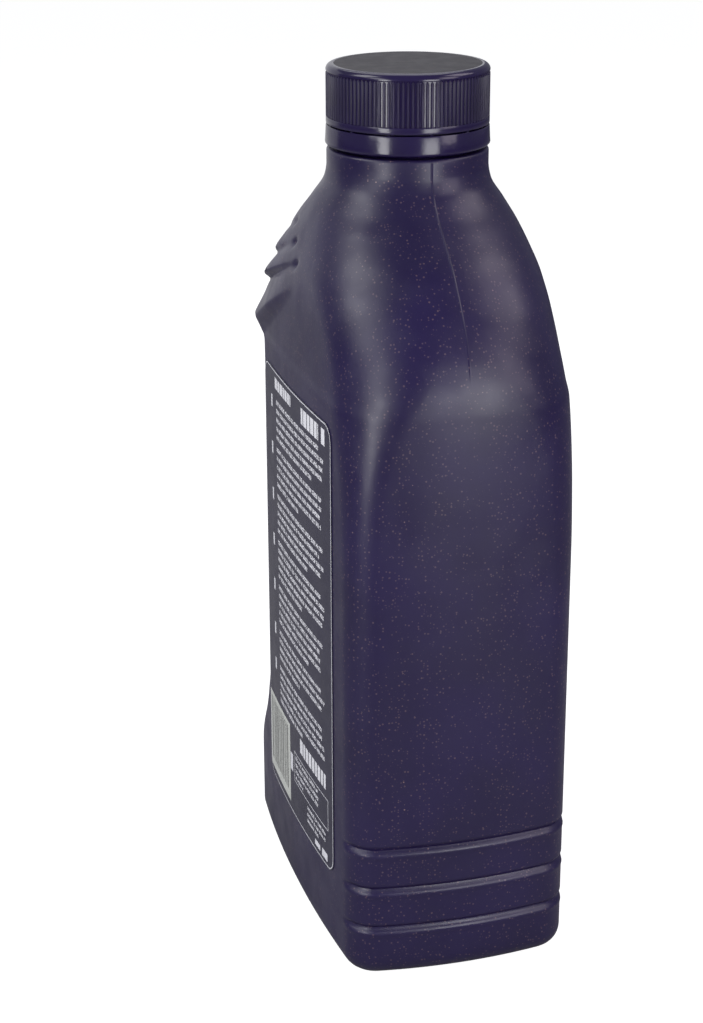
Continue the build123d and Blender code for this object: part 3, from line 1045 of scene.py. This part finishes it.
def back_print(s, x0, x1, z0, z1):
    """Rows of fine print, a bar panel and a boxed note."""
    draw = np.random.default_rng(s.seed)
    sheet = Print(-1)
    sheet.border("solid", x0, x1, z0, z1, s.corner)
    left, right = x0 + 8.8, x1 - 5.2
    # headings
    sheet.blocks(draw, -14.2, 3.6, 142.0, 145.0, 0.5)
    sheet.blocks(draw, 13.6, 28.4, 140.6, 144.9, 0.5)
    sheet.blocks(draw, 30.6, 33.8, 140.6, 144.9, 0.5)
    # paragraphs, each with a short tick before it
    top = 139.2
    for count in (5, 5, 5, 5, 5, 4, 5):
        sheet.mark("solid", left, left + 1.6, top - 1.4 * s.row_pitch, top)
        sheet.rows(draw, "text", left + 6.2, right, top, count, s.row_pitch, ROW_HEIGHT, 4.5)
        top -= count * s.row_pitch + PARAGRAPH_GAP
    # bar panel
    sheet.mark("pale", x0 + 0.6, -1.8, 26.0, 49.4, out=0.215)
    x = x0 + 2.6
    while x < -3.8:
        wide = draw.choice([0.3, 0.3, 0.6, 0.9])
        sheet.mark("dark", x, x + wide, 28.6, 48.0, out=0.23)
        x += wide + draw.choice([0.7, 0.7, 1.2])
    # boxed note under a heading, with a small mark on its left
    sheet.blocks(draw, 9.0, 33.0, 46.0, 50.2, 0.6)
    sheet.mark("solid", -1.4, 1.2, 36.4, 41.6)
    sheet.frame("solid", 2.6, 33.8, 34.6, 43.6, 0.22)
    sheet.rows(draw, "text", 4.0, 32.5, 42.6, 4, 2.0, 1.1, 8.0)
    sheet.rows(draw, "text", 15.5, 33.5, 33.2, 3, 1.9, 1.0, 3.0)
    sheet.mark("solid", 28.6, 33.0, 25.2, 27.4)
    sheet.mark("solid", 22.5, 27.0, 25.4, 27.0)
    return sheet


def front_print(s, x0, x1, z0, z1):
    """Plain fields of colour for the face that is not described."""
    sheet = Print(1)
    sheet.border("solid", x0, x1, z0, z1, s.corner)
    sheet.mark("solid", x0 + 8.0, x1 - 8.0, 118.0, 130.0)
    sheet.mark("pale", x0 + 8.0, x1 - 8.0, 112.0, 115.0)
    for i in range(9):
        sheet.mark("pale", x0 + 8.0, x1 - 8.0 - 3.0 * i, 96.0 - 4.0 * i, 98.2 - 4.0 * i)
    sheet.mark("solid", x0 + 8.0, x0 + 30.0, 36.0, 48.0)
    return sheet


# ---- studio ---------------------------------------------------------------------


WHITE, WARM = (1.0, 1.0, 1.0), (1.0, 0.90, 0.95)
# name, azimuth, distance, height, width, height of its face, watts, tint
LAMPS = (
    ("left_high", -92.0, 0.60, 0.74, 0.34, 0.50, 2.50, WHITE),
    ("left_low", -62.0, 0.60, 0.42, 0.20, 0.34, 0.62, WHITE),
    ("right_high", 80.0, 0.60, 0.76, 0.40, 0.45, 1.70, WARM),
    ("right_low", 42.0, 0.60, 0.38, 0.26, 0.36, 0.85, WARM),
    ("window_left", -49.0, 0.36, 0.17, 0.085, 0.19, 0.40, WHITE),
    ("window_right", 15.0, 0.36, 0.16, 0.125, 0.18, 0.45, WHITE),
    ("backdrop", 195.0, 0.60, 0.28, 0.90, 0.52, 0.86, WHITE),
    ("above", 170.0, 0.45, 0.90, 0.60, 0.60, 1.70, WHITE),
)
AIM = Vector((0.0, 0.0, 0.12))
FLOOR_REACH = 3e3


def softbox(name, azimuth, away, height, wide, high, watts, tint):
    """A rectangular lamp aimed at the bottle, in metres and degrees from +X."""
    around = math.radians(azimuth)
    place = Vector((away * math.cos(around), away * math.sin(around), height))
    lamp = bpy.data.lights.new(name, "AREA")
    lamp.shape = "RECTANGLE"
    lamp.size, lamp.size_y = wide, high
    lamp.energy = watts
    lamp.color = tint
    made = add_object(name, lamp)
    made.location = place
    made.visible_camera = False
    made.rotation_euler = (AIM - place).to_track_quat("-Z", "Y").to_euler()


class BOTTLE_OT_stage(bpy.types.Operator):
    """Set the camera, the pale floor and the soft studio light"""

    bl_idname = "bottle.stage"
    bl_label = "Stage"

    def execute(self, context):
        s = context.scene.bottle_studio
        around, down = math.radians(s.azimuth), math.radians(s.pitch)
        yaw, roll = math.radians(s.yaw), math.radians(s.roll)
        ahead = Vector((-math.cos(around), math.sin(around), 0))
        right = Vector((math.sin(around), math.cos(around), 0))
        level = ahead * math.cos(yaw) - right * math.sin(yaw)
        right = right * math.cos(yaw) + ahead * math.sin(yaw)
        look = level * math.cos(down) - Vector((0, 0, math.sin(down)))
        up = Vector((0, 0, math.cos(down))) + level * math.sin(down)
        side = right * math.cos(roll) + up * math.sin(roll)
        up = up * math.cos(roll) - right * math.sin(roll)
        view = Matrix((side, up, -look)).transposed().to_4x4()
        view.translation = Vector(
            (s.distance * math.cos(around), -s.distance * math.sin(around), s.height)
        ) * MM
        camera = bpy.data.cameras.new("camera")
        camera.lens, camera.sensor_width = s.lens, 36.0
        camera.clip_start, camera.clip_end = 0.01, 50.0
        holder = add_object("camera", camera)
        holder.matrix_world = view
        context.scene.camera = holder

        reach = FLOOR_REACH
        corners = [(-reach, -reach, 0), (reach, -reach, 0), (reach, reach, 0), (-reach, reach, 0)]
        floor = mesh_object("floor", corners, [(0, 1, 2, 3)], [white_ground()])
        for lamp in LAMPS:
            softbox(*lamp)

        world = bpy.data.worlds.new("studio")
        context.scene.world = world
        world.use_nodes = True
        nodes, links = world.node_tree.nodes, world.node_tree.links
        nodes.clear()
        path = nodes.new("ShaderNodeLightPath")
        soft, white = nodes.new("ShaderNodeBackground"), nodes.new("ShaderNodeBackground")
        soft.inputs["Color"].default_value = (0.85, 0.88, 1.0, 1.0)
        soft.inputs["Strength"].default_value = 0.22
        white.inputs["Color"].default_value = (1.0, 1.0, 1.0, 1.0)
        blend, out = nodes.new("ShaderNodeMixShader"), nodes.new("ShaderNodeOutputWorld")
        links.new(path.outputs["Is Camera Ray"], blend.inputs[0])
        links.new(soft.outputs[0], blend.inputs[1])
        links.new(white.outputs[0], blend.inputs[2])
        links.new(blend.outputs[0], out.inputs[0])
        context.scene.view_settings.view_transform = "Standard"
        return {"FINISHED"}


def white_ground():
    """Floor that reads white to the camera yet keeps a soft contact shadow."""
    f = Finish("pale_floor")
    surface = f.node("ShaderNodeBsdfDiffuse", {}, (0.36, 0.36, 0.36, 1.0))
    glow = f.node("ShaderNodeEmission", {}, (1.0, 1.0, 1.0, 1.0), 0.92)
    seen = f.node("ShaderNodeLightPath", {}, output="Is Camera Ray")
    both = f.node("ShaderNodeAddShader", {}, surface, glow)
    f.node("ShaderNodeOutputMaterial", {}, f.node("ShaderNodeMixShader", {}, seen, surface, both))
    return f.material


# ---- panel and registration -----------------------------------------------------


class BOTTLE_PT_panel(bpy.types.Panel):
    """Settings and steps of the bottle"""

    bl_idname = "BOTTLE_PT_panel"
    bl_label = "Motor Oil Bottle"
    bl_space_type = "VIEW_3D"
    bl_region_type = "UI"
    bl_category = "Bottle"

    def draw(self, context):
        scene = context.scene
        for step, settings in (
            (BOTTLE_OT_shell, scene.bottle_shell),
            (BOTTLE_OT_contents, None),
            (BOTTLE_OT_closure, scene.bottle_closure),
            (BOTTLE_OT_labels, scene.bottle_label),
            (BOTTLE_OT_stage, scene.bottle_studio),
        ):
            box = self.layout.box()
            box.operator(step.bl_idname)
            for key in settings.__annotations__ if settings else ():
                box.prop(settings, key)


SETTINGS = {
    "bottle_shell": ShellSettings,
    "bottle_closure": ClosureSettings,
    "bottle_label": LabelSettings,
    "bottle_studio": StudioSettings,
}
STEPS = (BOTTLE_OT_shell, BOTTLE_OT_contents, BOTTLE_OT_closure, BOTTLE_OT_labels, BOTTLE_OT_stage)


def register():
    for kind in (*SETTINGS.values(), *STEPS, BOTTLE_PT_panel):
        bpy.utils.register_class(kind)
    for name, kind in SETTINGS.items():
        setattr(bpy.types.Scene, name, PointerProperty(type=kind))


def unregister():
    for name in SETTINGS:
        delattr(bpy.types.Scene, name)
    for kind in reversed((*SETTINGS.values(), *STEPS, BOTTLE_PT_panel)):
        bpy.utils.unregister_class(kind)


def main():
    register()
    bpy.ops.bottle.shell()
    bpy.ops.bottle.closure()
    bpy.ops.bottle.labels()
    bpy.ops.bottle.contents()
    bpy.ops.bottle.stage()


if __name__ == "__main__":
    main()
